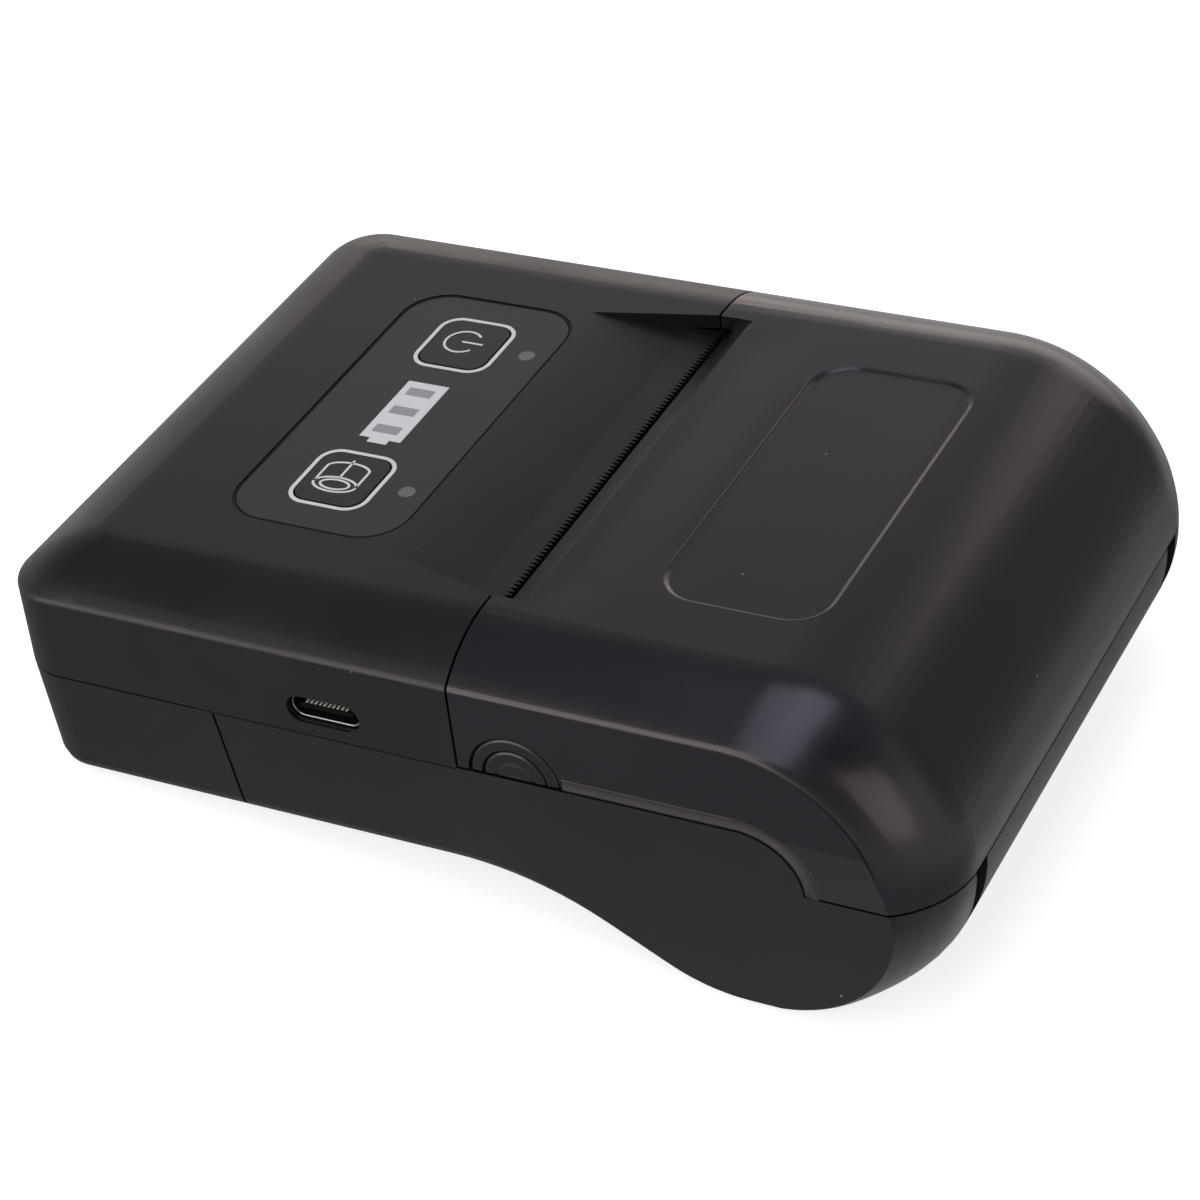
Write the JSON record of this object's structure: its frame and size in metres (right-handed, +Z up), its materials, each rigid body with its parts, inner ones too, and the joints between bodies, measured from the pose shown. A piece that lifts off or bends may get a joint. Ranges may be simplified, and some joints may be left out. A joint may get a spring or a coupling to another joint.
{
  "type": "portable thermal printer",
  "caption": "Palm-sized thermal printer with a hinged paper cover, rounded paper bay, clip-off battery pack, toothed tear bar, geared platen and sprung print head.",
  "frame": {"origin": "centre of the footprint, at the lowest line of the paper bulge", "axes": "+X towards the paper end and its hinge, +Z up through the flat top, -Y the side with the USB socket"},
  "size_m": [0.114, 0.083, 0.0405],
  "materials": {
    "housing_plastic": "fine satin",
    "cover_plastic": "satin gloss",
    "panel_plastic": "matte",
    "key_plastic": "matte",
    "clear_plastic": "clear",
    "inner_plastic": "moulded",
    "sheet_steel": "zinc plated",
    "steel_pin": "ground",
    "heat_sink_metal": "anodised",
    "ceramic": "glazed ceramic",
    "roller_rubber": "smooth",
    "gear_plastic": "moulded",
    "board_laminate": "coated",
    "cell_wrap": "film",
    "contact_metal": "gold plated",
    "film": "flat cable film"
  },
  "bodies": {
    "housing": {"upper_housing": "housing_plastic", "lower_housing": "housing_plastic", "control_panel": "panel_plastic", "battery_gauge_window": "clear_plastic", "status_light_pipes": "clear_plastic", "power_switch": "inner_plastic", "feed_switch": "inner_plastic", "main_circuit_board": "board_laminate", "status_leds": "clear_plastic", "usb_socket": "sheet_steel", "usb_tongue": "inner_plastic", "print_chassis": "inner_plastic", "head_springs": "steel_pin", "head_flex_cable": "film", "paper_sensor": "inner_plastic", "tear_bar": "sheet_steel", "idler_axle": "steel_pin", "stepper_motor": "sheet_steel", "hinge_pins": "steel_pin", "housing_screws": "steel_pin", "chassis_screws": "steel_pin", "board_screws": "steel_pin", "battery_contact_pins": "contact_metal"},
    "cover": {"paper_cover": "cover_plastic", "platen_bracket": "sheet_steel", "platen_bushings": "gear_plastic", "bracket_screws": "steel_pin"},
    "platen": {"platen_shaft": "steel_pin", "platen_roller": "roller_rubber", "platen_gear": "gear_plastic", "platen_ring": "steel_pin"},
    "idler": {"idler_gear": "gear_plastic"},
    "motor_rotor": {"motor_pinion": "gear_plastic", "motor_shaft": "steel_pin"},
    "head": {"head_heat_sink": "heat_sink_metal", "thermal_head": "ceramic", "head_pivot_pins": "steel_pin"},
    "battery": {"battery_case": "housing_plastic", "battery_lid": "inner_plastic", "battery_cells": "cell_wrap", "battery_terminals": "contact_metal"},
    "power_key": {"power_button": "key_plastic", "power_plunger": "inner_plastic"},
    "feed_key": {"feed_button": "key_plastic", "feed_plunger": "inner_plastic"}
  },
  "joints": [
    {"name": "cover_hinge", "type": "hinge", "parent": "housing", "child": "cover", "pos_m": [0.053, 0, 0.013], "axis": [0, 1, 0], "range_deg": [0, 95]},
    {"name": "platen_spin", "type": "hinge", "parent": "cover", "child": "platen", "pos_m": [0.0056, 0, 0.031], "axis": [0, 1, 0], "continuous": true},
    {"name": "idler_spin", "type": "hinge", "parent": "housing", "child": "idler", "pos_m": [0.00025, 0, 0.02306], "axis": [0, 1, 0], "continuous": true},
    {"name": "motor_spin", "type": "hinge", "parent": "housing", "child": "motor_rotor", "pos_m": [-0.0118, 0, 0.02201], "axis": [0, 1, 0], "continuous": true},
    {"name": "head_tilt", "type": "hinge", "parent": "housing", "child": "head", "pos_m": [-0.0019, 0, 0.0208], "axis": [0, 1, 0], "range_deg": [-3, 0], "stiffness_Nm_per_rad": 0.2, "springref_deg": 1.15, "deforming": ["head_springs"]},
    {"name": "battery_slide", "type": "slide", "parent": "housing", "child": "battery", "axis": [0, 0, -1], "range_m": [0, 0.016]},
    {"name": "power_press", "type": "slide", "parent": "housing", "child": "power_key", "axis": [0, 0, -1], "range_m": [0, 0.0004], "stiffness_N_per_m": 500, "springref_m": -0.0005},
    {"name": "feed_press", "type": "slide", "parent": "housing", "child": "feed_key", "axis": [0, 0, -1], "range_m": [0, 0.0004], "stiffness_N_per_m": 500, "springref_m": -0.0005}
  ],
  "couplings": [
    {"joint": "idler_spin", "follows": "platen_spin", "ratio": -1.7143},
    {"joint": "motor_spin", "follows": "platen_spin", "ratio": 5.1429}
  ]
}
